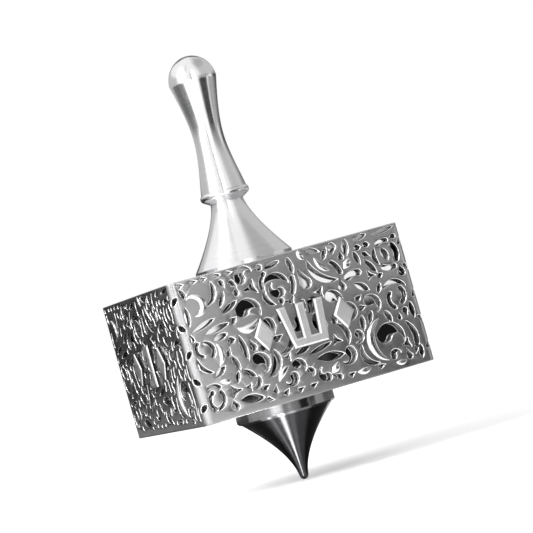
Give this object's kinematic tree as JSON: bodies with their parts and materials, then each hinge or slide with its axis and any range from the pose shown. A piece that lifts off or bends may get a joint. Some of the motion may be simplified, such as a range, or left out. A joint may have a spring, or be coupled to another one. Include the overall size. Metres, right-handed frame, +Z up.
{
  "type": "dreidel",
  "caption": "Metal dreidel: turned finger grip, trumpet stem, square body in a pierced scrollwork sleeve, and a flanged spinning point.",
  "frame": {"origin": "tip of the point, on the spin axis, where the top meets the table as it spins", "axes": "+Z up the spin axis from the tip to the dome of the grip, -Y out of the front side, +X to the right seen from the front"},
  "size_m": [0.06, 0.06, 0.1084],
  "materials": {
    "turned_aluminium": "fine turned, bright",
    "plate_aluminium": "milled satin",
    "polished_core": "polished",
    "lace_metal": "satin, polished relief",
    "flange_steel": "turned, grey",
    "dark_steel": "turned, blackened",
    "rod_steel": "plated"
  },
  "bodies": {
    "root": {"finger_grip": "turned_aluminium", "trumpet_stem": "turned_aluminium", "top_plate": "plate_aluminium", "core_block": "polished_core", "pierced_sleeve": "lace_metal", "bottom_plate": "plate_aluminium", "base_flange": "flange_steel", "spin_point": "dark_steel", "tie_rod": "rod_steel"}
  },
  "joints": []
}
